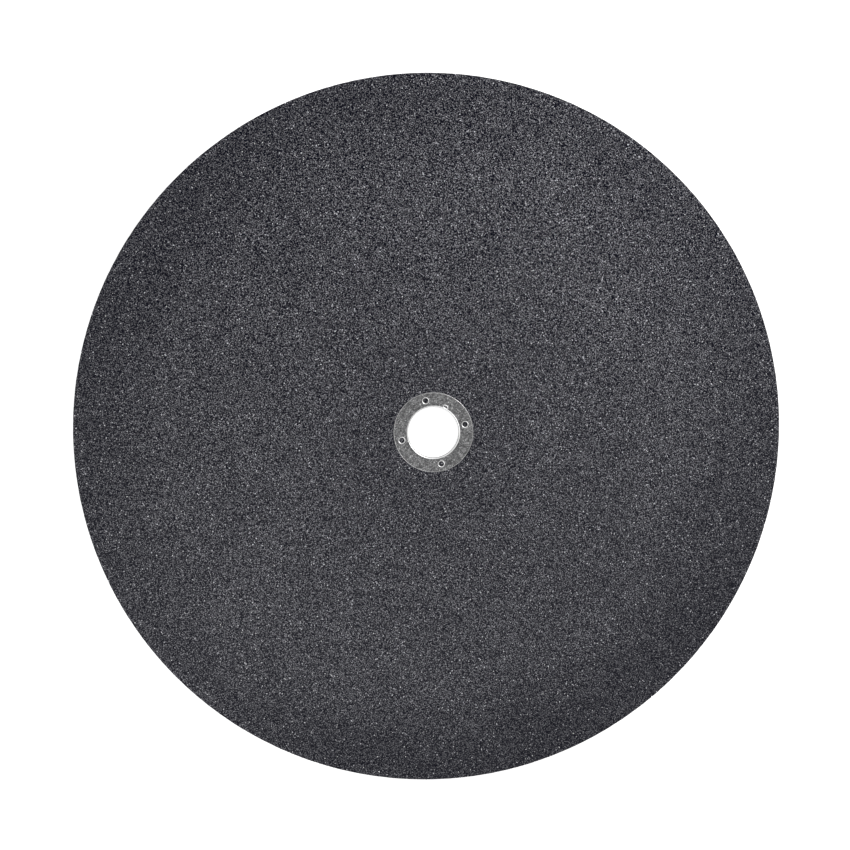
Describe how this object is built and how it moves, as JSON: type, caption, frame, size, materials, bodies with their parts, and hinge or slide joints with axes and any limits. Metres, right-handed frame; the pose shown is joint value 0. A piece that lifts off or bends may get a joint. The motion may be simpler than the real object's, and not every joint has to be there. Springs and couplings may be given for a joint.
{
  "type": "metal cutting disc",
  "caption": "Flat abrasive cut-off disc for metal, with a stamped steel ring lining its central arbor bore.",
  "frame": {"origin": "on the disc's axis, at the back face that it lies on", "axes": "+Z along the disc's axis, out of the side that the ring's flange is on; a pierced hole stands 14 degrees round from +X"},
  "size_m": [0.355, 0.355, 0.0032],
  "materials": {
    "abrasive": "coarse, dark grey, resin-bonded grit with scattered glinting grains",
    "ring_steel": "dull tin-plated sheet steel, mottled, with bright rolled edges"
  },
  "bodies": {
    "root": {"abrasive_disc": "abrasive", "metal_ring": "ring_steel"}
  },
  "joints": []
}
